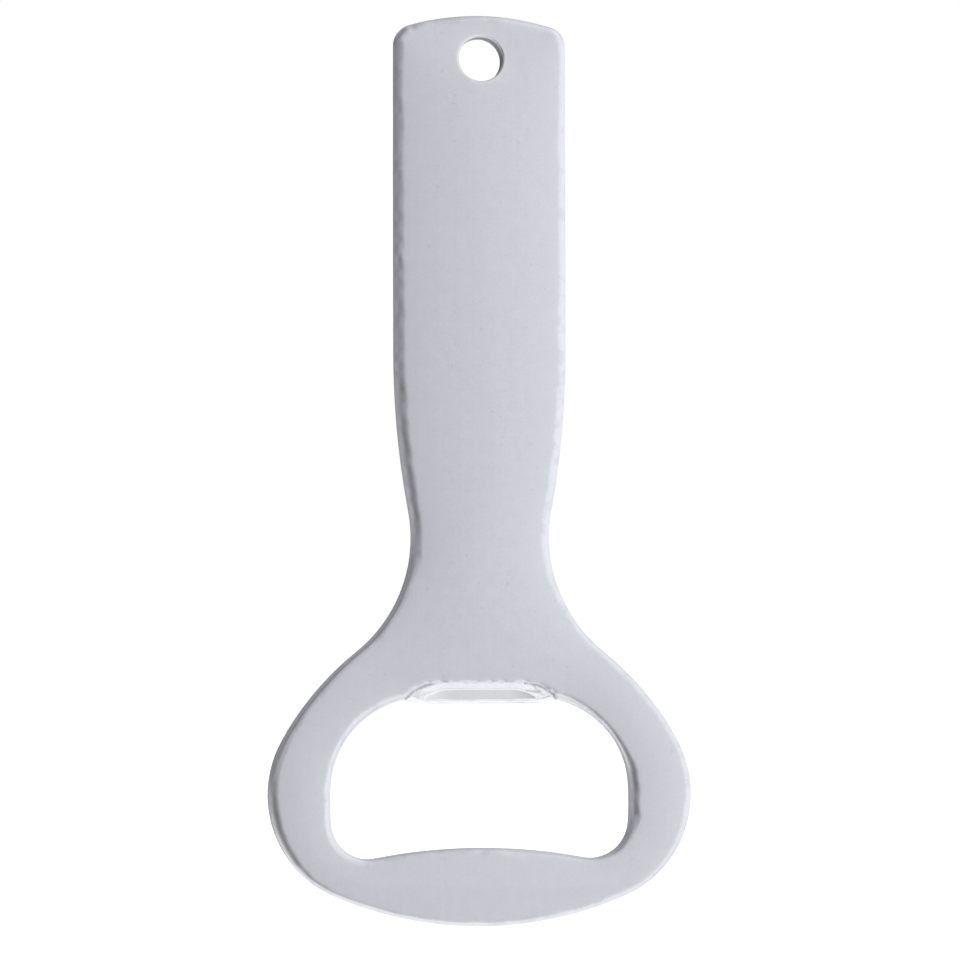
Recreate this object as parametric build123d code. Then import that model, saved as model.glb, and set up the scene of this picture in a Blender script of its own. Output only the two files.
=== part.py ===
from build123d import *
from math import asin, cos, degrees, radians, sin
import os

# Keyring bottle opener: one flat aluminium stamping.  A strap handle with a
# keyring hole at its top runs down into a waist and a wide oval head.  The head
# is pierced by the crown-cap opening, and the middle of the opening's top edge
# is coined thin into the lip that goes under a cap.
#
# Frame: origin at the centre of the keyring hole, half way through the plate.
# +Z runs up the handle, away from the head.  +X is to the right of someone who
# looks at the coined front face, which points to -Y.  Heights in the driving
# dimensions are measured up from the foot of the head.

# ---------------------------------------------------------------- driving dimensions (mm)
THICKNESS = 3.0
LENGTH = 95.0

HEAD_HALF_WIDTH = 22.15
HANDLE_HALF_WIDTH = 9.0
WAIST_HALF_WIDTH = 7.2

# Outline radii, going up the right-hand side from the foot of the head.
FOOT_RADIUS = 38.5
HEAD_CORNER_RADIUS = 11.5
HEAD_CORNER_END = 119.3  # heading in degrees, counted from +X
SHOULDER_RADIUS = 31.6
NECK_RADIUS = 15.2
HANDLE_FLARE_RADIUS = 90.0
CROWN_CORNER_RADIUS = 2.0
CROWN_RADIUS = 26.5

# Crown-cap opening.
FULCRUM_HEIGHT = 8.1  # top of the arch that rests on the cap
OPENING_HALF_WIDTH = 15.75
FULCRUM_RADIUS = 59.0
LOWER_CORNER_RADIUS = 3.95
LOWER_CORNER_END = 85.0
SIDE_RADIUS = 26.0
SIDE_END = 94.5
UPPER_CORNER_RADIUS = 9.5
UPPER_CORNER_END = 151.0
TOP_FLAT_HALF_WIDTH = 5.0

# Coined pocket above the lip.  Its walls slope in from the mouth to the floor,
# steeply at the top and gently at the two ends.
POCKET_DEPTH = 1.6
MOUTH_TOP_HEIGHT = 25.3
MOUTH_HALF_WIDTH = 8.9
MOUTH_CORNER_RADIUS = 4.2
FLOOR_TOP_HEIGHT = 24.6
FLOOR_HALF_WIDTH = 7.8
FLOOR_CORNER_RADIUS = 4.6
FLOOR_EDGE_RADIUS = 0.25
PUNCH_HEIGHT = 9.5  # its lower part meets only the open air of the opening

# Lip: its tip is straight in the middle and sweeps up into the opening's edge.
LIP_TIP_HEIGHT = 23.15
LIP_STRAIGHT_HALF_WIDTH = 5.2
LIP_END_RADIUS = 10.0
LIP_END_TURN = 25.0  # degrees, enough to run into the plate
LIP_SHOULDER_RADIUS = 1.5
LIP_FRONT_EDGE_RADIUS = 0.45

# Keyring hole.
HOLE_RADIUS = 2.35
HOLE_BELOW_CROWN = 4.6

# Tumbled edges.  The front is the side the blanking punch rolled over.
FRONT_EDGE_RADIUS = 0.95
BACK_EDGE_RADIUS = 0.4
HOLE_EDGE_RADIUS = 0.15

FOOT_Z = HOLE_BELOW_CROWN - LENGTH
FRONT_Y = -THICKNESS / 2
BACK_Y = THICKNESS / 2


def from_foot(height):
    """Turn a height above the foot of the head into Z."""
    return FOOT_Z + height


def sine(heading):
    return sin(radians(heading))


def tangent_path(start, headings_and_radii, first_heading=0.0):
    """Chain tangent arcs: each one turns to the next heading on its own radius."""
    edges = []
    point, heading = start, first_heading
    for next_heading, radius in headings_and_radii:
        direction = (cos(radians(heading)), sin(radians(heading)))
        arc = JernArc(point, direction, radius, next_heading - heading)
        edges.append(arc)
        point, heading = arc @ 1, next_heading
    return edges


def symmetric_face(right_edges):
    """Close a right-hand chain with its mirror image across the Z axis."""
    left_edges = [edge.mirror(Plane.YZ) for edge in right_edges]
    return make_face(Curve() + right_edges + left_edges)


def plate_outline():
    """The opener's silhouette, symmetric about X = 0."""
    # Each width is met exactly, because the heading where one arc hands over
    # to the next follows from the widths.
    foot_end = degrees(asin(
        (HEAD_HALF_WIDTH - HEAD_CORNER_RADIUS) / (FOOT_RADIUS - HEAD_CORNER_RADIUS)
    ))
    corner_end_x = HEAD_HALF_WIDTH - HEAD_CORNER_RADIUS * (1 - sine(HEAD_CORNER_END))
    shoulder_end = 180 - degrees(asin(
        (WAIST_HALF_WIDTH + NECK_RADIUS - corner_end_x + SHOULDER_RADIUS * sine(HEAD_CORNER_END))
        / (SHOULDER_RADIUS + NECK_RADIUS)
    ))
    neck_end = degrees(asin(
        1 - (HANDLE_HALF_WIDTH - WAIST_HALF_WIDTH) / (NECK_RADIUS + HANDLE_FLARE_RADIUS)
    ))
    crown_start = 180 - degrees(asin(
        (HANDLE_HALF_WIDTH - CROWN_CORNER_RADIUS) / (CROWN_RADIUS - CROWN_CORNER_RADIUS)
    ))

    lower = tangent_path((0, FOOT_Z), [
        (foot_end, FOOT_RADIUS),
        (HEAD_CORNER_END, HEAD_CORNER_RADIUS),
        (shoulder_end, SHOULDER_RADIUS),
        (neck_end, NECK_RADIUS),
        (90, HANDLE_FLARE_RADIUS),
    ])
    handle_start = lower[-1] @ 1

    # The crown's rise above the straight sides is the sum of its two arcs.
    crown_rise = (
        -CROWN_CORNER_RADIUS * cos(radians(crown_start))
        + CROWN_RADIUS * (1 + cos(radians(crown_start)))
    )
    handle_end = (HANDLE_HALF_WIDTH, HOLE_BELOW_CROWN - crown_rise)
    side = Line(handle_start, handle_end)
    crown = tangent_path(handle_end, [
        (crown_start, CROWN_CORNER_RADIUS),
        (180, CROWN_RADIUS),
    ], first_heading=90)
    return symmetric_face(lower + [side] + crown)


def opening_outline():
    """The crown-cap opening, with the lip standing down into its top edge."""
    fulcrum_end = -degrees(asin(
        (
            OPENING_HALF_WIDTH
            - LOWER_CORNER_RADIUS * sine(LOWER_CORNER_END)
            - SIDE_RADIUS * (1 - sine(LOWER_CORNER_END))
        )
        / (FULCRUM_RADIUS + LOWER_CORNER_RADIUS)
    ))
    upper_end_x = (
        OPENING_HALF_WIDTH
        - SIDE_RADIUS * (1 - sine(SIDE_END))
        - UPPER_CORNER_RADIUS * (sine(SIDE_END) - sine(UPPER_CORNER_END))
    )
    top_radius = (upper_end_x - TOP_FLAT_HALF_WIDTH) / sine(UPPER_CORNER_END)
    right = tangent_path((0, from_foot(FULCRUM_HEIGHT)), [
        (fulcrum_end, FULCRUM_RADIUS),
        (LOWER_CORNER_END, LOWER_CORNER_RADIUS),
        (SIDE_END, SIDE_RADIUS),
        (UPPER_CORNER_END, UPPER_CORNER_RADIUS),
        (180, top_radius),
    ])
    top_end = right[-1] @ 1
    opening = symmetric_face(right + [Line(top_end, (0, top_end.Y))]) - lip_outline()
    shoulders = opening.vertices().group_by(Axis.Y)[-1]
    return fillet(shoulders, LIP_SHOULDER_RADIUS)


def lip_outline():
    """The lip seen from the front, long enough to bury its root in the plate."""
    tip = from_foot(LIP_TIP_HEIGHT)
    root = from_foot(MOUTH_TOP_HEIGHT)
    straight = Line((0, tip), (LIP_STRAIGHT_HALF_WIDTH, tip))
    sweep = tangent_path(straight @ 1, [(LIP_END_TURN, LIP_END_RADIUS)])[0]
    side = Line(sweep @ 1, ((sweep @ 1).X, root))
    return symmetric_face([straight, sweep, side, Line(side @ 1, (0, root))])


def pierced_plate():
    """The blank with its opening and keyring hole, all edges tumbled round."""
    profile = plate_outline() - opening_outline()
    blank = extrude(Plane.XZ * profile, THICKNESS / 2, both=True)
    blank = fillet(blank.faces().sort_by(Axis.Y)[0].edges(), FRONT_EDGE_RADIUS)
    blank = fillet(blank.faces().sort_by(Axis.Y)[-1].edges(), BACK_EDGE_RADIUS)

    blank -= Plane.XZ * Cylinder(HOLE_RADIUS, 2 * THICKNESS)
    rims = blank.edges().filter_by(
        lambda edge: edge.geom_type == GeomType.CIRCLE and abs(edge.radius - HOLE_RADIUS) < 1e-6
    )
    return fillet(rims, HOLE_EDGE_RADIUS)


def punch_section(half_width, top_height, corner_radius, y):
    """The punch's rounded outline at one depth in the plate."""
    centre_height = top_height - PUNCH_HEIGHT / 2
    outline = RectangleRounded(2 * half_width, PUNCH_HEIGHT, corner_radius)
    return Pos(0, y) * (Plane.XZ * Pos(0, from_foot(centre_height)) * outline)


def coining_punch():
    """The tapered tool that presses the pocket above the lip into the front face."""
    floor_y = FRONT_Y + POCKET_DEPTH
    mouth = punch_section(MOUTH_HALF_WIDTH, MOUTH_TOP_HEIGHT, MOUTH_CORNER_RADIUS, FRONT_Y)
    floor = punch_section(FLOOR_HALF_WIDTH, FLOOR_TOP_HEIGHT, FLOOR_CORNER_RADIUS, floor_y)
    punch = loft([mouth, floor], ruled=True)
    return fillet(punch.faces().sort_by(Axis.Y)[-1].edges(), FLOOR_EDGE_RADIUS)


def lip_front_edges(plate):
    """The edges along the tip of the lip, where the pocket's floor ends."""
    floor_y = FRONT_Y + POCKET_DEPTH
    below = from_foot(LIP_TIP_HEIGHT + LIP_FRONT_EDGE_RADIUS)
    on_floor = plate.edges().filter_by_position(Axis.Y, floor_y - 0.01, floor_y + 0.01)
    return [edge for edge in on_floor if edge.center().Z < below]


def opener_plate():
    plate = pierced_plate() - coining_punch()
    return fillet(lip_front_edges(plate), LIP_FRONT_EDGE_RADIUS)


os.makedirs("parts", exist_ok=True)
plate = opener_plate()
export_step(plate, "parts/opener_plate.step")
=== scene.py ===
import random
from math import ceil, cos, hypot, pi, radians, sin

import bmesh
import bpy
import numpy as np
from mathutils import Matrix, Vector, geometry, noise
from mathutils.kdtree import KDTree


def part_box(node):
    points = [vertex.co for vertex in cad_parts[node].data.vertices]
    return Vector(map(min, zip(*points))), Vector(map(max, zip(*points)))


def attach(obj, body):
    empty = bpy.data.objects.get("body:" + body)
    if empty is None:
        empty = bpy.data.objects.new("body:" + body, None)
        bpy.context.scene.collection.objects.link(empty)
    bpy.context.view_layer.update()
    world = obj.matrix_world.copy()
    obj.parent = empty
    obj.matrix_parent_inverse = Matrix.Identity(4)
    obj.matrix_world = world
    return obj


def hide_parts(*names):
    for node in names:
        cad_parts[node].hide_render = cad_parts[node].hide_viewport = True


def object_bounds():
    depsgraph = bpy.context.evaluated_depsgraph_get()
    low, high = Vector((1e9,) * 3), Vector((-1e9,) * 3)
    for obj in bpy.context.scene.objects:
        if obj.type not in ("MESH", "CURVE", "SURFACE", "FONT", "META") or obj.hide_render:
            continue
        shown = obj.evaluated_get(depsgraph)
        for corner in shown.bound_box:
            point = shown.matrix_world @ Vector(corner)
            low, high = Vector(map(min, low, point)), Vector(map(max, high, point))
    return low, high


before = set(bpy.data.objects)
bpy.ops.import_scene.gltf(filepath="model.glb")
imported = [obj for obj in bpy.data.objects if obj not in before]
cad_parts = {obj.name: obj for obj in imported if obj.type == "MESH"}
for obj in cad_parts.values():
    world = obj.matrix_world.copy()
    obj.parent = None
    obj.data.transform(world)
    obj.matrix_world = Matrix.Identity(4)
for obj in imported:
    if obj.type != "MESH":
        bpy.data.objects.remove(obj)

# The opener is one stamped, coined and tumbled aluminium plate.  Its visible
# piece is built here from the CAD plate's own outlines, so that it can carry
# what the plain solid leaves out: the rolled-over face edges, the broken shear
# zone on the cut walls, the ragged border of the coined pocket and small nicks.
# Plan shapes are (x, z) in millimetres, seen from the front; y is depth.

CAD_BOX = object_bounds()
MM = 0.001
random.seed(7)

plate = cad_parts["opener_plate"]
LOW, HIGH = (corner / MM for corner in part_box("opener_plate"))
FRONT_Y, BACK_Y, FOOT_Z = LOW.y, HIGH.y, LOW.z

# ---------------------------------------------------------------- shape (mm)
# Every wall of the plate, the lip's tip included, runs straight through this depth.
SECTION_Y = 0.8

# The front rounding is fullest where the tumbling wore it most.
FRONT_RADIUS = 0.95
HANDLE_FINE_RADIUS = 0.8
HEAD_FINE_RADIUS = 0.62
OPENING_LEFT_RADIUS = 0.75
OPENING_RIGHT_RADIUS = 0.38
BACK_RADIUS = 0.4
HOLE_EDGE_RADIUS = 0.15
# Reach of the painted highlight round the hole's front rim.
HOLE_PAINTED_HIGHLIGHT_REACH = 0.35
LIP_FRONT_RADIUS = 0.45
LIP_FRONT_DEPTH = 0.85  # the tip's rounding runs further back than it is high
LIP_ZONE_ABOVE_FOOT = 22.0
LIP_ZONE_HALF_WIDTH = 9.5

# Spans over which the front rounding changes.  Heights are above the foot.
HANDLE_HEIGHTS = (33, 40)
FINER_ALONG_HANDLE_Z = (-45, -20)
FINER_ACROSS_HANDLE_X = (-8.5, 6)
FINER_AT_CROWN_Z = (-13, -7)
HEAD_SIDES_X = (17, 19)
HEAD_SIDES_HEIGHT = 12.5
HEAD_SIDES_REACH = 5.5
HEAD_LEFT_TO_RIGHT_X = (-10, 10)
HEAD_RIGHT_FINER_BY = 0.6
OPENING_LEFT_TO_RIGHT_X = (9, 13)
OPENING_WORN_X = (10, 13)
OPENING_WORN_FROM = (8.5, 12)
OPENING_WORN_TO = (14, 20)

# Noise layers, each an amount, a size and a seed.
EDGE_WAVER = ((0.11, 5.0, 1.7), (0.08, 1.6, 4.2))
BORDER_RIPPLE = ((0.8, 0.8, 3.1), (0.3, 0.4, 8.4))

# Each limb of the plate is left slightly crowned, and the blanking punch drags
# the face down a little more close to every cut edge.
FRONT_CROWN = 0.22
BACK_CROWN = 0.12
CROWN_REACH = 6.0
ROLL_OVER_DEPTH = 0.04
ROLL_OVER_WIDTH = 1.6

# The punch outlines at the pocket's mouth and floor.  Tops are above the foot.
POCKET_DEPTH = 1.6
MOUTH = {"top": 25.25, "half_width": 8.9, "corner": 4.2}
FLOOR = {"top": 24.7, "half_width": 7.8, "corner": 4.6}
PUNCH_HEIGHT = 9.5
FLOOR_TAPER = 0.12  # the lip thins towards its tip, in mm per mm

# Parts of the way down the pocket's wall: 0 is on its mouth, 1 on its floor's edge.
MOUTH_SOFTNESS = 0.3
FLOOR_SOFTNESS = 0.35
BORDER_AT = -0.1
BORDER_REACH = 0.4
SINK_AT = -0.35
SINK_REACH = 0.25
COINED_FROM = (-0.25, 0.3)

UNCOINED_DEPTH = 0.2  # at the back face
RAGGED_BORDER = 0.15
SINK_DEPTH = 0.035  # the face is drawn down a little along the pocket's border
CREASE_DEPTH = 0.035  # the folded shear lines round the pocket's two ends
CREASE_WIDTH = 0.14
CREASE_INSET = 0.12
CREASE_FROM_X = (4.4, 5.6)

# The broken zone of the cut walls begins and ends over these parts of the way back.
SHEAR_BEGINS = (0.34, 0.43)
SHEAR_ENDS = (0.82, 1.0)
SHEAR_DEPTH = 0.05
SHEAR_ROUGHNESS = 0.035
# Its noise layers: amount, size, seed, and the shift along Z from front to back.
SHEAR_RIPPLE = ((1.0, 0.45, 5.5, 7), (0.6, 1.4, 2.2, -3))

NICKS = 34
NICK_DEPTH = (0.02, 0.055)
NICK_SIZE = (0.18, 0.5)
NICK_TURN = (25, 80)  # degrees round the front rounding
CORNER_NICK = (-7.5, 4.0)
CORNER_NICK_SIZE = 0.4
CORNER_NICK_DEPTH = 0.09

# ---------------------------------------------------------------- mesh density (mm)
EDGE_SPACING = 0.32
LIP_SPACING = 0.09
HOLE_SPACING = 0.2
FACE_SPACING = 0.8
CORNER_TURN = radians(21)  # a sharper turn in an outline is kept as a corner
ROUNDING_TURNS = (0, 9, 21, 35, 50, 65, 79, 90)
FACE_MARGIN = (0.3, 0.12)
WALL_FRACTIONS = (0.08, 0.2, 0.33, 0.39, 0.45, 0.55, 0.68, 0.8, 0.9)

# Rows of points along the pocket's wall, as parts of the way down it.
POCKET_ROWS = (
    -1.3, -0.9, -0.6, -0.35, -0.15, 0.0, 0.12, 0.25, 0.4,
    0.55, 0.7, 0.85, 1.0, 1.15, 1.35, 1.7, 2.2,
)
GRID_ABOVE_ROWS = 0.8
GRID_BELOW_ROWS = 0.3
CORNER_COLUMNS = 52
FLAT_COLUMNS = 76
ROW_END_RADII = 1.15  # a row stops this many front radii short of the cut
ROW_END_GAP = 0.05


# ---------------------------------------------------------------- outlines
def section_loops(node, y):
    """The closed outlines of a node's section at one depth, largest first."""
    bm = bmesh.new()
    bm.from_mesh(node.data)
    bmesh.ops.remove_doubles(bm, verts=bm.verts, dist=1e-7)
    cut = bmesh.ops.bisect_plane(
        bm, geom=[*bm.verts, *bm.edges, *bm.faces], plane_co=(0, y * MM, 0), plane_no=(0, 1, 0)
    )["geom_cut"]
    neighbours = {item: [] for item in cut if isinstance(item, bmesh.types.BMVert)}
    for item in cut:
        if isinstance(item, bmesh.types.BMEdge):
            a, b = item.verts
            neighbours[a].append(b)
            neighbours[b].append(a)
    loops = []
    while neighbours:
        vertex = next(iter(neighbours))
        loop = []
        while vertex is not None:
            loop.append((vertex.co.x / MM, vertex.co.z / MM))
            linked = neighbours.pop(vertex)
            vertex = next((other for other in linked if other in neighbours), None)
        loops.append(without_straight_points(np.array(loop)))
    bm.free()
    return sorted(loops, key=lambda loop: -np.ptp(loop[:, 0]))


def without_straight_points(loop, tolerance=3e-4):
    """Drop points that lie on the chord between their neighbours."""
    before, after = np.roll(loop, 1, 0), np.roll(loop, -1, 0)
    chord = after - before
    offset = loop - before
    off_line = np.abs(chord[:, 0] * offset[:, 1] - chord[:, 1] * offset[:, 0]) / np.hypot(*chord.T)
    return loop[off_line > tolerance]


def signed_area(loop):
    after = np.roll(loop, -1, 0)
    return 0.5 * np.sum(loop[:, 0] * after[:, 1] - after[:, 0] * loop[:, 1])


def smooth_outline(loop, spacing_at, clockwise):
    """Resample a loop along a smooth curve through its points.

    Returns the points and their normals, which point into the metal."""
    if (signed_area(loop) < 0) != clockwise:
        loop = loop[::-1]
    count = len(loop)
    chords = np.roll(loop, -1, 0) - loop
    headings = np.arctan2(chords[:, 1], chords[:, 0])
    turns = (headings - np.roll(headings, 1) + pi) % (2 * pi) - pi
    through = np.roll(loop, -1, 0) - np.roll(loop, 1, 0)
    through /= np.hypot(*through.T)[:, None]
    points, normals = [], []
    for i in range(count):
        j = (i + 1) % count
        length = hypot(*chords[i])
        along = chords[i] / length
        start = along if abs(turns[i]) > CORNER_TURN else through[i]
        end = along if abs(turns[j]) > CORNER_TURN else through[j]
        steps = max(1, ceil(length / spacing_at(*(loop[i] + loop[j]) / 2)))
        for t in np.arange(steps) / steps:
            point = (
                (2 * t**3 - 3 * t**2 + 1) * loop[i] + (3 * t**2 - 2 * t**3) * loop[j]
                + length * ((t**3 - 2 * t**2 + t) * start + (t**3 - t**2) * end)
            )
            tangent = (
                (6 * t**2 - 6 * t) * (loop[i] - loop[j])
                + length * ((3 * t**2 - 4 * t + 1) * start + (3 * t**2 - 2 * t) * end)
            )
            if t == 0:
                tangent = through[i]
            tangent = tangent / hypot(*tangent)
            points.append(point)
            normals.append((-tangent[1], tangent[0]))
    return np.array(points), np.array(normals)


# ---------------------------------------------------------------- surface shape
def smoothstep(value, low, high):
    t = np.clip((value - low) / (high - low), 0, 1)
    return t * t * (3 - 2 * t)


def ripple(x, z, size, seed):
    """Smooth noise of about +-1, with features of that size in mm."""
    return np.array([
        2 * noise.noise(Vector((a / size, b / size, seed))) for a, b in zip(np.ravel(x), np.ravel(z))
    ]).reshape(np.shape(x))


def layered_ripple(x, z, layers):
    return sum(amount * ripple(x, z, size, seed) for amount, size, seed in layers)


def bell(value, centre, reach):
    """1 at the centre, falling smoothly to about a third at the reach."""
    return np.exp(-(((value - centre) / reach) ** 2))


def rounded_box_distance(x, z, shape):
    """Signed distance to a punch outline, negative inside."""
    centre_z = FOOT_Z + shape["top"] - PUNCH_HEIGHT / 2
    dx = np.abs(x) - shape["half_width"] + shape["corner"]
    dz = np.abs(z - centre_z) - PUNCH_HEIGHT / 2 + shape["corner"]
    outside = np.hypot(np.maximum(dx, 0), np.maximum(dz, 0))
    return outside + np.minimum(np.maximum(dx, dz), 0) - shape["corner"]


def pocket_progress(x, z):
    """0 on the pocket's mouth, 1 on the edge of its floor, going on past both."""
    mouth = rounded_box_distance(x, z, MOUTH)
    floor = rounded_box_distance(x, z, FLOOR)
    wall = MOUTH["top"] - FLOOR["top"]
    between = -mouth / np.maximum(floor - mouth, 1e-6)
    return np.where(mouth > 0, -mouth / wall, np.where(floor < 0, 1 - floor / wall, between))


def soft_knee(value, softness):
    """0 below zero and the value itself above, with a rounded corner between."""
    rounded = (value + softness) ** 2 / (4 * softness)
    return np.where(value < -softness, 0.0, np.where(value > softness, value, rounded))


def near_lip(z):
    """True from just under the lip's tip upwards.  Lower down the punch meets only air."""
    return z > FOOT_Z + LIP_ZONE_ABOVE_FOOT


def pocket_depth(x, z):
    """How far the coining presses the front face in."""
    wall = MOUTH["top"] - FLOOR["top"]
    progress = pocket_progress(x, z)
    near_mouth = np.clip(1 - np.abs(progress - BORDER_AT) / BORDER_REACH, 0, 1)
    ragged = layered_ripple(x, z, BORDER_RIPPLE)
    progress = progress + ragged * near_mouth * RAGGED_BORDER / wall
    past_wall = soft_knee(progress - 1, FLOOR_SOFTNESS)
    depth = POCKET_DEPTH * (soft_knee(progress, MOUTH_SOFTNESS) - past_wall)
    depth += FLOOR_TAPER * past_wall * wall
    sink = SINK_DEPTH * bell(progress, SINK_AT, SINK_REACH) * (1 + ragged)
    return depth + np.where(near_lip(z), sink + CREASE_DEPTH * crease(x, z), 0)


def crease(x, z):
    """1 along the middle of the shear lines at the pocket's ends, 0 away from them."""
    ends = smoothstep(np.abs(x), *CREASE_FROM_X) * near_lip(z)
    return ends * bell(rounded_box_distance(x, z, MOUTH), -CREASE_INSET, CREASE_WIDTH)


def in_pocket(x, z):
    return smoothstep(pocket_progress(x, z), 0.0, 1.0)


def outline_radius(x, z):
    """The front rounding of the outline, finer up the handle's right side and round the head."""
    height = z - FOOT_Z
    up_right = smoothstep(z, *FINER_ALONG_HANDLE_Z) * smoothstep(x, *FINER_ACROSS_HANDLE_X)
    finer = np.maximum(up_right, smoothstep(z, *FINER_AT_CROWN_Z))
    handle = FRONT_RADIUS + (HANDLE_FINE_RADIUS - FRONT_RADIUS) * finer
    worn = bell(height, HEAD_SIDES_HEIGHT, HEAD_SIDES_REACH)
    worn *= 1 - HEAD_RIGHT_FINER_BY * smoothstep(x, *HEAD_LEFT_TO_RIGHT_X)
    worn *= smoothstep(np.abs(x), *HEAD_SIDES_X)
    head = HEAD_FINE_RADIUS + (FRONT_RADIUS - HEAD_FINE_RADIUS) * worn
    return head + (handle - head) * smoothstep(height, *HANDLE_HEIGHTS)


def opening_radius(x, z):
    """The front rounding of the opening, full only half way up its right side."""
    height = z - FOOT_Z
    to_right = smoothstep(x, *OPENING_LEFT_TO_RIGHT_X)
    fine = OPENING_LEFT_RADIUS + (OPENING_RIGHT_RADIUS - OPENING_LEFT_RADIUS) * to_right
    worn = smoothstep(height, *OPENING_WORN_FROM) * (1 - smoothstep(height, *OPENING_WORN_TO))
    worn *= smoothstep(x, *OPENING_WORN_X)
    usual = fine + (FRONT_RADIUS - fine) * worn
    return usual + (LIP_FRONT_RADIUS - usual) * in_pocket(x, z)


def hole_radius(x, z):
    return np.full(np.shape(x), HOLE_EDGE_RADIUS)


# ---------------------------------------------------------------- mesh
class Shell:
    """Vertices with their shading attributes, and faces, gathered piece by piece."""

    def __init__(self):
        self.points, self.edge_wear, self.shear, self.painted_shade = [], [], [], []
        self.faces = []

    def ring(self, x, y, z, edge_wear, shear=0.0, painted_shade=0.0):
        start = len(self.points)
        self.points.extend(zip(x, y, z))
        for values, added in ((self.edge_wear, edge_wear), (self.shear, shear), (self.painted_shade, painted_shade)):
            values.extend(np.broadcast_to(added, np.shape(x)))
        return list(range(start, len(self.points)))

    def strip(self, ring_a, ring_b):
        """Join two closed rings of the same length with quads."""
        for i in range(len(ring_a)):
            j = (i + 1) % len(ring_a)
            self.faces.append((ring_a[i], ring_a[j], ring_b[j], ring_b[i]))


class Edge:
    """One closed cut edge of the plate, with its roundings and its wall."""

    def __init__(self, loop, spacing_at, clockwise, radius_at, is_hole=False):
        self.points, self.normals = smooth_outline(loop, spacing_at, clockwise)
        self.is_hole = is_hole
        x, z = self.points.T
        uneven = 1 + layered_ripple(x, z, EDGE_WAVER)
        deeper = (LIP_FRONT_DEPTH - LIP_FRONT_RADIUS) * in_pocket(x, z)
        self.front_radius = uneven * radius_at(x, z)
        self.front_depth = self.front_radius + deeper
        self.back_radius = uneven * (HOLE_EDGE_RADIUS if is_hole else BACK_RADIUS)

    def plan(self, inset):
        """The outline moved into the metal."""
        return (self.points + self.normals * np.reshape(inset, (-1, 1))).T

    def front_rim(self):
        return self.front_radius + FACE_MARGIN[0]

    def back_rim(self):
        return self.back_radius + FACE_MARGIN[0]

    def build(self, shell, front, back):
        """Add the edge's rings from the front face round to the back face."""
        rings = [front.rim_ring(self)]
        rings += self.front_rings(shell, front)
        rings += self.wall_rings(shell, front, back)
        rings += self.back_rings(shell, back)
        rings.append(back.rim_ring(self))
        for ring_a, ring_b in zip(rings, rings[1:]):
            shell.strip(ring_a, ring_b)

    def front_rings(self, shell, front):
        # Near the pocket's ends these rings carry painted shade along its creases.
        rim = self.front_rim()
        for margin in FACE_MARGIN[1:]:
            inset = self.front_radius + margin
            x, z = self.plan(inset)
            y = FRONT_Y + front.drop_past_rim(self, x, z, rim, inset)
            yield shell.ring(x, y, z, 0.5, painted_shade=CREASE_PAINTED_SHADE * crease(x, z))
        for turn in ROUNDING_TURNS:
            inset = self.front_radius * (1 - sin(radians(turn)))
            x, z = self.plan(inset)
            drop = front.drop_past_rim(self, x, z, rim, inset)
            y = FRONT_Y + drop + self.front_depth * (1 - cos(radians(turn)))
            yield shell.ring(x, y, z, 1.0, painted_shade=CREASE_PAINTED_SHADE * crease(x, z))

    def wall_rings(self, shell, front, back):
        """The cut wall: a smooth band, then the broken shear zone."""
        front_drop = front.drop_past_rim(self, *self.plan(0), self.front_rim(), 0)
        back_drop = back.drop_past_rim(self, *self.plan(0), self.back_rim(), 0)
        front_y = FRONT_Y + front_drop + self.front_depth
        back_y = BACK_Y - back_drop - self.back_radius
        x, z = self.points.T
        for fraction in WALL_FRACTIONS:
            broken = smoothstep(fraction, *SHEAR_BEGINS) * (1 - smoothstep(fraction, *SHEAR_ENDS))
            rough = sum(
                amount * ripple(x, z + shift * fraction, size, seed)
                for amount, size, seed, shift in SHEAR_RIPPLE
            )
            depth = np.maximum(SHEAR_DEPTH + SHEAR_ROUGHNESS * rough, 0)
            ring_x, ring_z = self.plan(broken * depth)
            y = front_y + (back_y - front_y) * fraction
            # The hole's wall takes full painted shade: its colour is darkened for the shade inside the
            # hole.
            yield shell.ring(ring_x, y, ring_z, 0.8, broken, 1.0 if self.is_hole else 0.0)

    def back_rings(self, shell, back):
        rim = self.back_rim()
        for turn in reversed(ROUNDING_TURNS):
            inset = self.back_radius * (1 - sin(radians(turn)))
            x, z = self.plan(inset)
            drop = back.drop_past_rim(self, x, z, rim, inset)
            y = BACK_Y - drop - self.back_radius * (1 - cos(radians(turn)))
            yield shell.ring(x, y, z, 1.0)
        for margin in reversed(FACE_MARGIN[1:]):
            inset = self.back_radius + margin
            x, z = self.plan(inset)
            y = BACK_Y - back.drop_past_rim(self, x, z, rim, inset)
            yield shell.ring(x, y, z, 0.5)


def inside(polygon, x, z):
    """Which of the points lie inside a closed polygon."""
    result = np.zeros(len(x), bool)
    for (ax, az), (bx, bz) in zip(polygon, np.roll(polygon, -1, 0)):
        if az == bz:
            continue
        crosses = (az > z) != (bz > z)
        result ^= crosses & (x < (bx - ax) * (z - az) / (bz - az) + ax)
    return result


def distance_to_edges(edges, x, z):
    """How far each point is from the nearest outline point of these edges, seen in plan."""
    points = np.vstack([edge.points for edge in edges])
    tree = KDTree(len(points))
    for i, (a, b) in enumerate(points):
        tree.insert((a, 0, b), i)
    tree.balance()
    return np.array([tree.find((a, 0, b))[2] for a, b in zip(x, z)])


def pocket_rows():
    """Rows of points that follow the pocket's wall up and round its corners."""
    for progress in POCKET_ROWS:
        top, half_width, corner = (
            MOUTH[key] + (FLOOR[key] - MOUTH[key]) * progress for key in ("top", "half_width", "corner")
        )
        centre_x, centre_z = half_width - corner, FOOT_Z + top - corner
        turns = np.linspace(0, pi / 2, CORNER_COLUMNS)
        right = np.stack([centre_x + corner * np.cos(turns), centre_z + corner * np.sin(turns)], 1)
        flat_x = np.linspace(centre_x, -centre_x, FLAT_COLUMNS)[1:-1]
        flat = np.stack([flat_x, np.full(len(flat_x), FOOT_Z + top)], 1)
        yield np.vstack([right, flat, right[::-1] * (-1, 1)])


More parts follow.
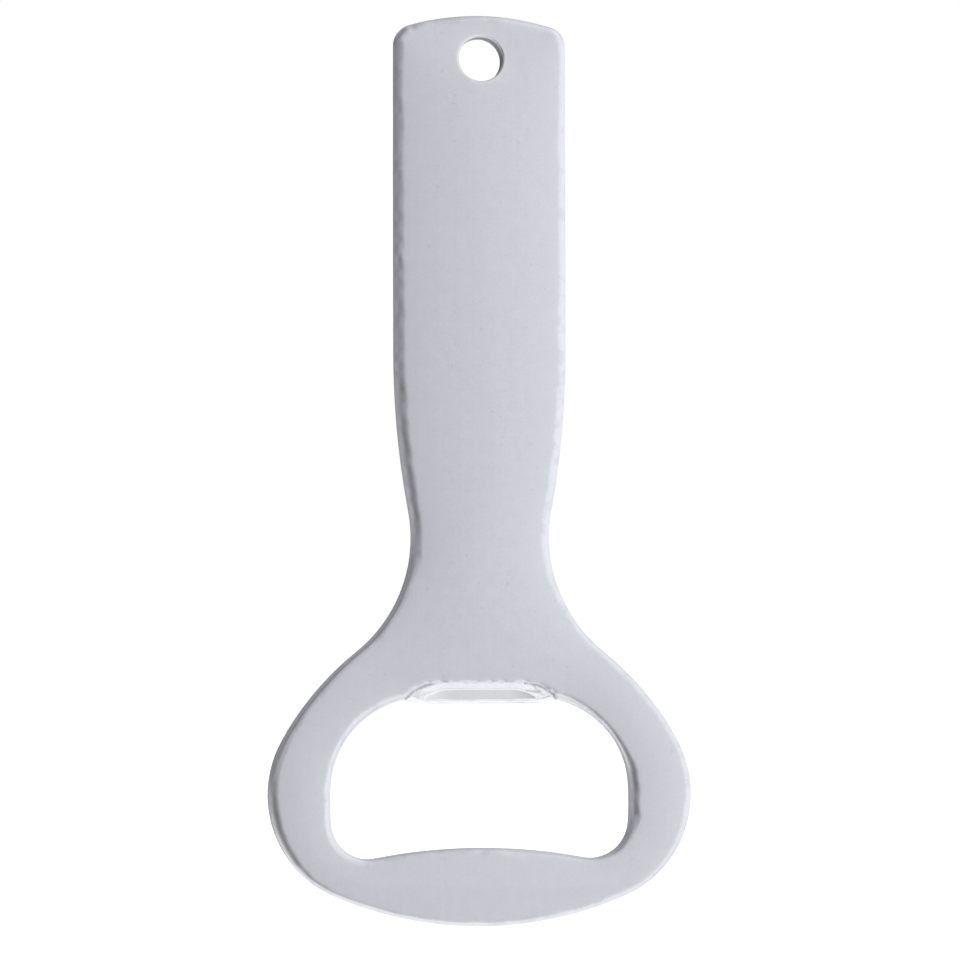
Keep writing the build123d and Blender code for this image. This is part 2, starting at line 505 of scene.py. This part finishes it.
class Face:
    """The plate's front or back face: its plan triangles and its crown."""

    def __init__(self, edges, rim_inset, crown, with_pocket):
        self.edges, self.crown, self.with_pocket = edges, crown, with_pocket
        self.rims = [edge.plan(rim_inset(edge)).T for edge in edges]
        self.starts = np.cumsum([0] + [len(rim) for rim in self.rims])
        links = [
            (start + i, start + (i + 1) % len(rim))
            for start, rim in zip(self.starts, self.rims) for i in range(len(rim))
        ]
        groups = [*self.rims, self.grid()]
        if with_pocket:
            for row, kept in self.pocket_points():
                start = sum(len(group) for group in groups)
                unbroken = np.flatnonzero(np.diff(kept) == 1)
                links += [(start + int(n), start + int(n) + 1) for n in unbroken]
                groups.append(row[kept])
        self.plan = np.vstack(groups)
        self.triangles = self.triangulate(links)
        self.height, self.rim_slope = self.membrane()

    def on_metal(self, x, z):
        """Which of the points lie inside the outline's rim and outside the openings' rims."""
        outside_rim, *void_rims = self.rims
        result = inside(outside_rim, x, z)
        for rim in void_rims:
            result &= ~inside(rim, x, z)
        return result

    def grid(self):
        """A field of evenly spaced points, clear of the rims and the pocket's wall."""
        columns = np.arange(LOW.x, HIGH.x, FACE_SPACING)
        levels = np.arange(LOW.z, HIGH.z, FACE_SPACING * sin(pi / 3))
        points = np.array([
            (x + FACE_SPACING / 2 * (k % 2), z) for k, z in enumerate(levels) for x in columns
        ])
        points = points[self.on_metal(*points.T)]
        clearance = FRONT_RADIUS + FACE_MARGIN[0] + FACE_SPACING / 2
        points = points[distance_to_edges(self.edges, *points.T) > clearance]
        if self.with_pocket:
            progress = pocket_progress(*points.T)
            above = progress < POCKET_ROWS[0] - GRID_ABOVE_ROWS
            below = progress > POCKET_ROWS[-1] + GRID_BELOW_ROWS
            points = points[above | below | ~near_lip(points[:, 1])]
        return points

    def pocket_points(self):
        """Each row along the pocket's wall, with the indices of its points on the face."""
        for row in pocket_rows():
            rim = ROW_END_RADII * opening_radius(*row.T) + FACE_MARGIN[0]
            clear = distance_to_edges(self.edges, *row.T) > rim + ROW_END_GAP
            yield row, np.flatnonzero(clear & self.on_metal(*row.T))

    def triangulate(self, links):
        vertices, _, triangles, sources, _, _ = geometry.delaunay_2d_cdt(
            [Vector(point) for point in self.plan], links, [], 0, 1e-6
        )
        vertices = np.array(vertices)
        triangles = np.array(triangles)
        triangles = triangles[self.on_metal(*vertices[triangles].mean(1).T)]
        return np.array([source[0] for source in sources])[triangles]

    def membrane(self):
        """Height of a held membrane over the face, 1 at its highest, and its slope at the rims.

        Solves laplacian(h) = h / reach^2 - 1 with h = 0 on the rims, by conjugate gradients."""
        count, rim_count = len(self.plan), self.starts[-1]
        corners = self.plan[self.triangles]
        first, second, weight = [], [], []
        for k in range(3):
            a, b, c = (self.triangles[:, (k + n) % 3] for n in range(3))
            p = corners[:, (k + 1) % 3] - corners[:, k]
            q = corners[:, (k + 2) % 3] - corners[:, k]
            cross = np.abs(p[:, 0] * q[:, 1] - p[:, 1] * q[:, 0])
            first.append(b)
            second.append(c)
            weight.append(np.sum(p * q, 1) / (2 * cross))
        first, second, weight = map(np.concatenate, (first, second, weight))
        area = np.bincount(self.triangles.ravel(), np.repeat(cross / 6, 3), count)

        def apply(h):
            flow = weight * (h[first] - h[second])
            spread = np.bincount(first, flow, count) - np.bincount(second, flow, count)
            return spread + area * h / CROWN_REACH**2

        # The crown ignores the keyring hole, which was pierced through it.
        held = np.concatenate([
            np.full(len(rim), not edge.is_hole) for edge, rim in zip(self.edges, self.rims)
        ])
        free = np.concatenate([~held, np.ones(count - rim_count, bool)])
        height, residual = np.zeros(count), area * free
        step, power = residual.copy(), residual @ residual
        target = 1e-10 * power
        while power > target:
            pushed = apply(step) * free
            length = power / (step @ pushed)
            height += length * step
            residual -= length * pushed
            power, last = residual @ residual, power
            step = residual + power / last * step
        reaction = (area - apply(height))[:rim_count]
        slopes = []
        for start, rim in zip(self.starts, self.rims):
            sides = np.hypot(*(np.roll(rim, -1, 0) - rim).T)
            slopes.append(reaction[start:start + len(rim)] / ((sides + np.roll(sides, 1)) / 2))
        return height / height.max(), [slope / height.max() for slope in slopes]

    def drop_past_rim(self, edge, x, z, rim, inset):
        """The drop between the rim and the cut, where the membrane runs on at its rim slope."""
        k = self.edges.index(edge)
        height = self.height[self.starts[k]:self.starts[k + 1]] - self.rim_slope[k] * (rim - inset)
        distance = ROLL_OVER_WIDTH if edge.is_hole else inset
        return self.drop(x, z, distance, self.crown * (1 - height))

    def drop(self, x, z, distance, crown_drop):
        """How far the surface lies in from the CAD plate's flat face."""
        drop = crown_drop + ROLL_OVER_DEPTH * np.clip(1 - distance / ROLL_OVER_WIDTH, 0, 1) ** 2
        if self.with_pocket:
            drop = drop * (1 - in_pocket(x, z)) + pocket_depth(x, z)
        return drop

    def rim_ring(self, edge):
        k = self.edges.index(edge)
        return list(range(self.first_index + self.starts[k], self.first_index + self.starts[k + 1]))

    def add(self, shell, level, towards_back):
        x, z = self.plan.T
        distance = distance_to_edges([edge for edge in self.edges if not edge.is_hole], x, z)
        y = level + towards_back * self.drop(x, z, distance, self.crown * (1 - self.height))
        wear = 0.5 * np.clip(1 - (distance - FRONT_RADIUS) / ROLL_OVER_WIDTH, 0, 1)
        # Painted shade along the creases at the pocket's ends.
        painted_shade = CREASE_PAINTED_SHADE * crease(x, z) if self.with_pocket else 0.0
        self.first_index = shell.ring(x, y, z, wear, painted_shade=painted_shade)[0]
        shell.faces += [tuple(self.first_index + i for i in triangle) for triangle in self.triangles]


def nick_edges(points, outline):
    """Press small dents into the outline's front rounding, the first at its top left corner."""
    nicks = [
        (
            random.randrange(len(outline.points)), random.uniform(*NICK_SIZE),
            random.uniform(*NICK_DEPTH), radians(random.uniform(*NICK_TURN)),
        )
        for _ in range(NICKS)
    ]
    corner = np.argmin(np.hypot(*(outline.points - CORNER_NICK).T))
    nicks[0] = (corner, CORNER_NICK_SIZE, CORNER_NICK_DEPTH, nicks[0][3])
    for i, size, depth, turn in nicks:
        radius, inward = outline.front_radius[i], outline.normals[i]
        plan = outline.points[i] + inward * radius * (1 - sin(turn))
        centre = np.array([plan[0], FRONT_Y + FRONT_CROWN + radius * (1 - cos(turn)), plan[1]])
        push = np.array([inward[0] * sin(turn), cos(turn), inward[1] * sin(turn)])
        reach = np.sum((points - centre) ** 2, axis=1) / (size * size)
        points += np.exp(-2 * reach)[:, None] * depth * push
    return points


def opening_spacing(x, z):
    return LIP_SPACING if abs(x) < LIP_ZONE_HALF_WIDTH and near_lip(z) else EDGE_SPACING


def burnish_and_rim_highlight(points, hole_edge):
    """1 in the coined pocket, where a punch left the metal bright, and in a painted highlight round the
    hole's front rim.
    """
    x, y, z = points.T
    burnish_and_highlight = smoothstep(pocket_progress(x, z), *COINED_FROM)
    burnish_and_highlight *= (y < BACK_Y - UNCOINED_DEPTH) & near_lip(z)
    from_hole = distance_to_edges([hole_edge], x, z)
    # The ring round the hole's front rim is a painted highlight for the light its rounding catches.
    return burnish_and_highlight + (y < 0) * bell(from_hole, 0, HOLE_PAINTED_HIGHLIGHT_REACH)


def build_plate():
    """The whole plate as one closed mesh, with its shading attributes."""
    outer, opening, hole = section_loops(plate, SECTION_Y)
    outer_edge = Edge(outer, lambda x, z: EDGE_SPACING, False, outline_radius)
    opening_edge = Edge(opening, opening_spacing, True, opening_radius)
    hole_edge = Edge(hole, lambda x, z: HOLE_SPACING, True, hole_radius, is_hole=True)
    edges = [outer_edge, opening_edge, hole_edge]

    shell = Shell()
    front = Face(edges, Edge.front_rim, FRONT_CROWN, with_pocket=True)
    back = Face(edges, Edge.back_rim, BACK_CROWN, with_pocket=False)
    front.add(shell, FRONT_Y, 1)
    back.add(shell, BACK_Y, -1)
    for edge in edges:
        edge.build(shell, front, back)

    points = nick_edges(np.array(shell.points, float), outer_edge)
    mesh = bpy.data.meshes.new("opener")
    mesh.from_pydata(points * MM, [], shell.faces)
    attributes = {
        "edge_wear": shell.edge_wear, "shear": shell.shear, "painted_shade": shell.painted_shade,
        "burnish_and_highlight": burnish_and_rim_highlight(points, hole_edge),
    }
    for name, values in attributes.items():
        layer = mesh.attributes.new(name, "FLOAT", "POINT")
        layer.data.foreach_set("value", np.array(values, np.float32))
    bm = bmesh.new()
    bm.from_mesh(mesh)
    bmesh.ops.recalc_face_normals(bm, faces=bm.faces)
    bm.to_mesh(mesh)
    bm.free()
    mesh.shade_smooth()
    piece = bpy.data.objects.new("opener", mesh)
    bpy.context.scene.collection.objects.link(piece)
    return piece


# ---------------------------------------------------------------- shader graphs
class Graph:
    """A short way to add linked nodes to a node tree."""

    def __init__(self, tree):
        self.tree = tree

    def node(self, kind, inputs=None, **settings):
        node = self.tree.nodes.new(kind)
        for name, value in settings.items():
            setattr(node, name, value)
        for key, value in (inputs or {}).items():
            if isinstance(value, bpy.types.NodeSocket):
                self.tree.links.new(value, node.inputs[key])
            else:
                node.inputs[key].default_value = value
        return node

    def math(self, operation, a, b=0.0, c=0.0):
        return self.node("ShaderNodeMath", {0: a, 1: b, 2: c}, operation=operation).outputs[0]

    def scaled(self, vector, scale):
        inputs = {"Vector": vector, "Scale": scale}
        return self.node("ShaderNodeMapping", inputs).outputs["Vector"]

    def noise(self, vector, scale, detail, roughness=0.5):
        inputs = {"Vector": vector, "Scale": scale, "Detail": detail, "Roughness": roughness}
        return self.node("ShaderNodeTexNoise", inputs).outputs["Fac"]

    def remap(self, value, low, high, to_low=0.0, to_high=1.0, smooth=True):
        inputs = {"Value": value, "From Min": low, "From Max": high, "To Min": to_low, "To Max": to_high}
        kind = "SMOOTHSTEP" if smooth else "LINEAR"
        return self.node("ShaderNodeMapRange", inputs, interpolation_type=kind).outputs["Result"]

    def mix(self, factor, a, b, blend="MIX"):
        node = self.node("ShaderNodeMix", data_type="RGBA", blend_type=blend)
        for socket, value in ((node.inputs["Factor"], factor), (node.inputs[6], a), (node.inputs[7], b)):
            if isinstance(value, bpy.types.NodeSocket):
                self.tree.links.new(value, socket)
            else:
                socket.default_value = value
        return node.outputs[2]

    def vary(self, value, texture, amount):
        """Let a texture move a value up and down by half the amount."""
        return self.math("MULTIPLY_ADD", self.math("SUBTRACT", texture, 0.5), amount, value)

    def attribute(self, name):
        return self.node("ShaderNodeAttribute", attribute_name=name).outputs["Fac"]


# ---------------------------------------------------------------- material
METAL = (0.875, 0.88, 0.94, 1)
# The coined pocket's burnished metal; also the colour of the painted highlight round the hole's front
# rim.
BURNISHED_AND_HIGHLIGHT = (0.96, 0.965, 1.0, 1)
FACE_ROUGHNESS = 0.40
EDGE_ROUGHNESS = 0.33
COINED_ROUGHNESS = 0.23
SHEAR_ZONE_ROUGHNESS = 0.5
SHEAR_ZONE_SHADE = 0.92
# Tone of full painted shade: the colour is darkened on the hole's wall and along the creases at the
# pocket's ends.
PAINTED_SHADE_TONE = 0.45
STAIN = 0.09
PIT_SHADE = 0.06
# How strongly painted shade darkens the creases at the pocket's ends.
CREASE_PAINTED_SHADE = 0.95

# How far each texture moves the shade and the roughness, from its low to its high.
ROLLING_SHADE = 0.04
GRAIN_SHADE = 0.13
PEEL_SHADE = 0.06
CLOUD_ROUGHNESS = 0.08
ROLLING_ROUGHNESS = 0.06

# Relief of the skin, in metres.
GRAIN_HEIGHT = 2.2e-6
PEEL_HEIGHT = 3.5e-6
PIT_DEPTH = 1.5e-6
SHEAR_HEIGHT = 3e-5


def aluminium():
    """Tumbled aluminium: a satin skin of fine random marks over faint rolling lines."""
    material = bpy.data.materials.new("tumbled_aluminium")
    material.use_nodes = True
    graph = Graph(material.node_tree)
    shader = material.node_tree.nodes["Principled BSDF"]
    place = graph.node("ShaderNodeTexCoord").outputs["Object"]
    in_mm = graph.scaled(place, (1 / MM,) * 3)
    wear, shear, painted_shade, burnish_and_highlight = (
        graph.attribute(name) for name in ("edge_wear", "shear", "painted_shade", "burnish_and_highlight")
    )

    grain = graph.noise(in_mm, 4.5, 3.0, 0.6)
    peel = graph.noise(in_mm, 0.8, 2.0)
    cloud = graph.noise(in_mm, 0.12, 3.0)
    rolling = graph.noise(graph.scaled(in_mm, (2.2, 2.2, 0.02)), 1.0, 3.0)
    broken = graph.noise(graph.scaled(in_mm, (1, 0.45, 1)), 3.0, 4.0, 0.65)

    pits = graph.node("ShaderNodeTexVoronoi", {"Vector": in_mm, "Scale": 0.75, "Randomness": 1.0})
    pit_size = graph.remap(pits.outputs["Color"], 0.45, 1.0, 0.0, 0.2, smooth=False)
    pit = graph.remap(graph.math("SUBTRACT", pit_size, pits.outputs["Distance"]), 0.0, 0.06)

    height = graph.math("MULTIPLY", grain, GRAIN_HEIGHT)
    height = graph.math("MULTIPLY_ADD", peel, PEEL_HEIGHT, height)
    height = graph.math("MULTIPLY_ADD", pit, -PIT_DEPTH, height)
    height = graph.math("MULTIPLY_ADD", graph.math("MULTIPLY", broken, shear), SHEAR_HEIGHT, height)
    bump = graph.node("ShaderNodeBump", {"Height": height, "Distance": 1.0, "Strength": 1.0})

    rough = graph.remap(wear, 0.2, 1.0, FACE_ROUGHNESS, EDGE_ROUGHNESS)
    rough = graph.math("MULTIPLY_ADD", burnish_and_highlight, COINED_ROUGHNESS - FACE_ROUGHNESS, rough)
    rough = graph.math("MULTIPLY_ADD", shear, SHEAR_ZONE_ROUGHNESS - EDGE_ROUGHNESS, rough)
    rough = graph.vary(rough, cloud, CLOUD_ROUGHNESS)
    rough = graph.vary(rough, rolling, ROLLING_ROUGHNESS)

    stain = graph.remap(graph.noise(in_mm, 0.6, 4.0, 0.6), 0.5, 0.66)
    stain = graph.math("MULTIPLY", stain, graph.remap(wear, 0.3, 1.0))
    shade = graph.vary(1.0, rolling, ROLLING_SHADE)
    shade = graph.vary(shade, grain, GRAIN_SHADE)
    shade = graph.vary(shade, peel, PEEL_SHADE)
    shade = graph.math("MULTIPLY_ADD", pit, -PIT_SHADE, shade)
    shade = graph.math("MULTIPLY_ADD", stain, -STAIN, shade)
    shade = graph.math("MULTIPLY_ADD", shear, SHEAR_ZONE_SHADE - 1, shade)
    # Painted shade darkens the colour on the hole's wall and along the creases at the pocket's ends.
    shade = graph.math("MULTIPLY_ADD", painted_shade, PAINTED_SHADE_TONE - 1, shade)
    shade = graph.node("ShaderNodeCombineColor", {0: shade, 1: shade, 2: shade}).outputs[0]
    # The burnished pocket and the painted highlight round the hole's front rim take the brighter colour.
    colour = graph.mix(1.0, graph.mix(burnish_and_highlight, METAL, BURNISHED_AND_HIGHLIGHT), shade, "MULTIPLY")

    links = material.node_tree.links
    links.new(colour, shader.inputs["Base Color"])
    links.new(rough, shader.inputs["Roughness"])
    links.new(bump.outputs["Normal"], shader.inputs["Normal"])
    shader.inputs["Metallic"].default_value = 1.0
    return material


# ---------------------------------------------------------------- studio
VIEW_AZIMUTH = radians(-8.0)
VIEW_ELEVATION = radians(-2.7)
VIEW_DISTANCE = 470 * MM
AIM_BELOW_CENTRE = 1.1 * MM
CAMERA_LENS = 168.9
SENSOR_WIDTH = 36
CAMERA_ROLL = radians(-0.10)

# What the metal sees around it, as (degrees to the right of the front, colour)
# stops for four bands: at eye level, just above it, well above it and below it.
AT_EYE_LEVEL = (
    (-180, (0.41, 0.41, 0.42)),
    (-120, (0.42, 0.42, 0.43)),
    (-100, (0.38, 0.38, 0.39)),
    (-80, (0.25, 0.25, 0.255)),
    (-63, (0.15, 0.15, 0.155)),
    (-42, (0.12, 0.12, 0.125)),
    (-25, (0.22, 0.22, 0.225)),
    (-10, (0.34, 0.335, 0.35)),
    (0, (0.45, 0.445, 0.465)),
    (8, (0.70, 0.70, 0.71)),
    (15, (0.87, 0.88, 0.88)),
    (25, (0.94, 0.96, 0.96)),
    (45, (0.94, 0.96, 0.965)),
    (65, (0.95, 0.96, 0.96)),
    (85, (1.0, 1.0, 1.0)),
    (110, (0.98, 0.98, 0.98)),
    (135, (0.93, 0.93, 0.94)),
    (165, (0.90, 0.90, 0.91)),
)
JUST_ABOVE = (
    (-180, (0.22, 0.22, 0.23)),
    (-120, (0.21, 0.21, 0.22)),
    (-95, (0.25, 0.25, 0.26)),
    (-80, (0.33, 0.33, 0.34)),
    (-63, (0.47, 0.47, 0.48)),
    (-42, (0.53, 0.53, 0.54)),
    (-25, (0.52, 0.52, 0.53)),
    (-10, (0.50, 0.495, 0.51)),
    (0, (0.56, 0.555, 0.575)),
    (8, (0.71, 0.71, 0.72)),
    (15, (0.84, 0.85, 0.85)),
    (25, (0.92, 0.94, 0.94)),
    (65, (0.95, 0.96, 0.96)),
    (85, (1.0, 1.0, 1.0)),
    (110, (0.98, 0.98, 0.98)),
    (135, (0.90, 0.90, 0.91)),
    (165, (0.86, 0.86, 0.87)),
)
ABOVE = (
    (-180, (0.45, 0.45, 0.46)),
    (-150, (0.38, 0.38, 0.39)),
    (-110, (0.28, 0.28, 0.29)),
    (-85, (0.22, 0.22, 0.23)),
    (-60, (0.24, 0.24, 0.25)),
    (-40, (0.42, 0.42, 0.43)),
    (-22, (0.54, 0.54, 0.55)),
    (0, (0.64, 0.64, 0.65)),
    (25, (0.77, 0.78, 0.79)),
    (45, (0.88, 0.90, 0.90)),
    (85, (0.95, 0.95, 0.95)),
    (135, (0.80, 0.80, 0.81)),
)
BELOW = (
    (-180, (1.05, 1.05, 1.05)),
    (-135, (0.95, 0.95, 0.95)),
    (-90, (0.55, 0.55, 0.55)),
    (-60, (0.26, 0.26, 0.26)),
    (-35, (0.25, 0.25, 0.25)),
    (-15, (0.42, 0.42, 0.425)),
    (0, (0.61, 0.61, 0.615)),
    (10, (0.74, 0.745, 0.75)),
    (30, (0.95, 0.96, 0.96)),
    (60, (0.95, 0.95, 0.95)),
    (100, (0.90, 0.90, 0.90)),
    (135, (0.80, 0.80, 0.81)),
    (158, (1.03, 1.03, 1.03)),
)
OVERHEAD = (0.62, 0.62, 0.63, 1)
UNDERFOOT = (1.0, 1.0, 1.0, 1)
WHITE = (1.0, 1.0, 1.0, 1)

# The elevations, in degrees, over which each band takes over from eye level.
JUST_ABOVE_SPAN = (0.5, 7)
ABOVE_SPAN = (10, 26)
BELOW_SPAN = (-5, -26)
OVERHEAD_SPAN = (60, 85)
UNDERFOOT_SPAN = (-37, -61)

FLOOR_Z = -115 * MM
FLOOR_HALF_WIDTH = 4.0
FLOOR_COLOUR = (0.9, 0.9, 0.9, 1)
SUN_STRENGTH = 3.4
SUN_SPREAD = radians(50)
SUN_TILT = (radians(25), radians(20), 0)


def make_camera():
    low, high = CAD_BOX
    centre = (low + high) / 2
    back = Vector((
        sin(VIEW_AZIMUTH) * cos(VIEW_ELEVATION),
        -cos(VIEW_AZIMUTH) * cos(VIEW_ELEVATION),
        sin(VIEW_ELEVATION),
    ))
    data = bpy.data.cameras.new("camera")
    data.lens = CAMERA_LENS
    data.sensor_width = SENSOR_WIDTH
    camera = bpy.data.objects.new("camera", data)
    bpy.context.scene.collection.objects.link(camera)
    camera.location = centre + back * VIEW_DISTANCE
    aim = centre - Vector((0, 0, AIM_BELOW_CENTRE))
    look = (aim - camera.location).to_track_quat("-Z", "Y").to_matrix()
    camera.rotation_euler = (look @ Matrix.Rotation(CAMERA_ROLL, 3, "Z")).to_euler()
    bpy.context.scene.camera = camera


def make_world():
    """White behind everything, with soft panels that only the metal sees."""
    world = bpy.data.worlds.new("studio")
    bpy.context.scene.world = world
    world.use_nodes = True
    graph = Graph(world.node_tree)
    background = world.node_tree.nodes["Background"]
    direction = graph.node("ShaderNodeTexCoord").outputs["Generated"]
    x, y, z = graph.node("ShaderNodeSeparateXYZ", {0: direction}).outputs
    azimuth = graph.math("ARCTAN2", x, graph.math("MULTIPLY", y, -1.0))
    around = graph.remap(azimuth, -pi, pi, smooth=False)
    elevation = graph.math("ARCSINE", z)

    def band(stops):
        ramp = graph.node("ShaderNodeValToRGB", {"Fac": around})
        elements = ramp.color_ramp.elements
        elements[0].color = elements[1].color = (*stops[0][1], 1)
        for angle, colour in stops[1:]:
            elements.new((angle + 180) / 360).color = (*colour, 1)
        return ramp.outputs["Color"]

    def towards(colour, other, span):
        """Blend to the other colour between two elevations in degrees."""
        start, end = span
        factor = graph.remap(elevation, radians(start), radians(end))
        return graph.mix(factor, colour, other)

    colour = towards(band(AT_EYE_LEVEL), band(JUST_ABOVE), JUST_ABOVE_SPAN)
    colour = towards(colour, band(ABOVE), ABOVE_SPAN)
    colour = towards(colour, band(BELOW), BELOW_SPAN)
    colour = towards(colour, OVERHEAD, OVERHEAD_SPAN)
    colour = towards(colour, UNDERFOOT, UNDERFOOT_SPAN)
    seen = graph.node("ShaderNodeLightPath").outputs["Is Camera Ray"]
    colour = graph.mix(seen, colour, WHITE)
    world.node_tree.links.new(colour, background.inputs["Color"])
    background.inputs["Strength"].default_value = 1.0


def make_floor():
    """A white floor well below the plate, which its metal doesn't mirror."""
    w = FLOOR_HALF_WIDTH
    mesh = bpy.data.meshes.new("floor")
    mesh.from_pydata([(-w, -w, 0), (w, -w, 0), (w, w, 0), (-w, w, 0)], [], [(0, 1, 2, 3)])
    floor = bpy.data.objects.new("floor", mesh)
    floor.location.z = FLOOR_Z
    bpy.context.scene.collection.objects.link(floor)
    material = bpy.data.materials.new("floor")
    material.use_nodes = True
    shader = material.node_tree.nodes["Principled BSDF"]
    shader.inputs["Base Color"].default_value = FLOOR_COLOUR
    shader.inputs["Roughness"].default_value = 1.0
    shader.inputs["Specular IOR Level"].default_value = 0.0
    mesh.materials.append(material)
    floor.visible_glossy = False


def make_lamp():
    """A broad sun that keeps the floor white."""
    sun = bpy.data.lights.new("overhead", "SUN")
    sun.energy = SUN_STRENGTH
    sun.angle = SUN_SPREAD
    lamp = bpy.data.objects.new("overhead", sun)
    bpy.context.scene.collection.objects.link(lamp)
    lamp.rotation_euler = SUN_TILT
    lamp.visible_glossy = False


piece = build_plate()
piece.data.materials.append(aluminium())
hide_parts("opener_plate")
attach(piece, "root")
make_camera()
make_world()
make_floor()
make_lamp()
bpy.context.scene.view_settings.view_transform = "Standard"
